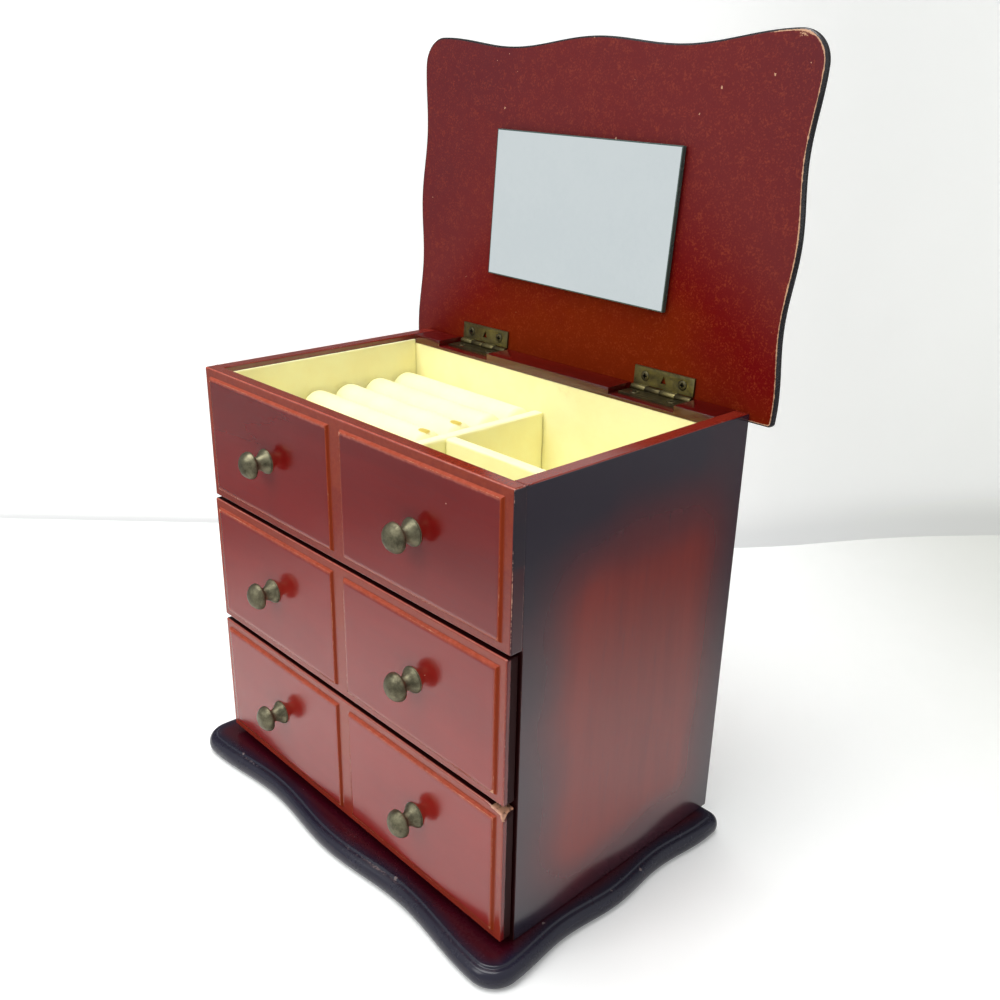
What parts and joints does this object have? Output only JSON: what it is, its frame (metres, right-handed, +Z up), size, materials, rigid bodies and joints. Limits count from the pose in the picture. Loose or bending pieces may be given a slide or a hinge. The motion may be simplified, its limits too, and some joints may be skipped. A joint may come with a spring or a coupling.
{
  "type": "vanity box with mirror",
  "caption": "Small lacquered wooden vanity box with serpentine plinth, sliding drawers, knobs, and a hinged mirrored lid over a lined tray with ring rolls.",
  "frame": {"origin": "centre of the case on the underside of the plinth", "axes": "+Z up, the drawers open towards -Y, +X to the right seen from the front"},
  "size_m": [0.1766, 0.1255, 0.2721],
  "materials": {
    "lacquered_wood": "gloss",
    "plinth_lacquer": "gloss",
    "velvet": "matte",
    "pewter": "satin",
    "screw_steel": "satin",
    "antique_brass": "satin",
    "mirror": "polished",
    "tape": "matte",
    "raw_board": "matte"
  },
  "bodies": {
    "case": {"base_plinth": "plinth_lacquer", "side_panel_left": "lacquered_wood", "side_panel_right": "lacquered_wood", "back_panel": "lacquered_wood", "hinge_rail": "lacquered_wood", "top_front": "lacquered_wood", "tray_board": "raw_board", "shelf_board": "raw_board", "case_floor": "raw_board", "plinth_screws": "screw_steel", "lining_floor": "velvet", "lining_left": "velvet", "lining_right": "velvet", "lining_front": "velvet", "lining_back": "velvet", "divider_long": "velvet", "divider_short": "velvet", "roll_block": "velvet", "ring_rolls": "velvet", "top_knob_left": "pewter", "top_knob_right": "pewter", "top_knob_screws": "screw_steel", "hinge_left_case_leaf": "antique_brass", "hinge_left_pin": "antique_brass", "hinge_right_case_leaf": "antique_brass", "hinge_right_pin": "antique_brass", "hinge_case_screws": "screw_steel"},
    "lid": {"lid_panel": "lacquered_wood", "mirror_glass": "mirror", "mirror_tape": "tape", "hinge_left_lid_leaf": "antique_brass", "hinge_right_lid_leaf": "antique_brass", "hinge_lid_screws": "screw_steel"},
    "mid_drawer": {"mid_drawer_front": "lacquered_wood", "mid_drawer_side_left": "raw_board", "mid_drawer_side_right": "raw_board", "mid_drawer_back": "raw_board", "mid_drawer_bottom": "raw_board", "mid_drawer_liner": "velvet", "mid_knob_left": "pewter", "mid_knob_right": "pewter", "mid_knob_screws": "screw_steel"},
    "low_drawer": {"low_drawer_front": "lacquered_wood", "low_drawer_side_left": "raw_board", "low_drawer_side_right": "raw_board", "low_drawer_back": "raw_board", "low_drawer_bottom": "raw_board", "low_drawer_liner": "velvet", "low_knob_left": "pewter", "low_knob_right": "pewter", "low_knob_screws": "screw_steel"}
  },
  "joints": [
    {"name": "lid_hinge", "type": "hinge", "parent": "case", "child": "lid", "pos_m": [0, 0.05117, 0.1584], "axis": [1, 0, 0], "range_deg": [0, 93]},
    {"name": "mid_drawer_slide", "type": "slide", "parent": "case", "child": "mid_drawer", "axis": [0, -1, 0], "range_m": [0, 0.08]},
    {"name": "low_drawer_slide", "type": "slide", "parent": "case", "child": "low_drawer", "axis": [0, -1, 0], "range_m": [0, 0.08]}
  ]
}
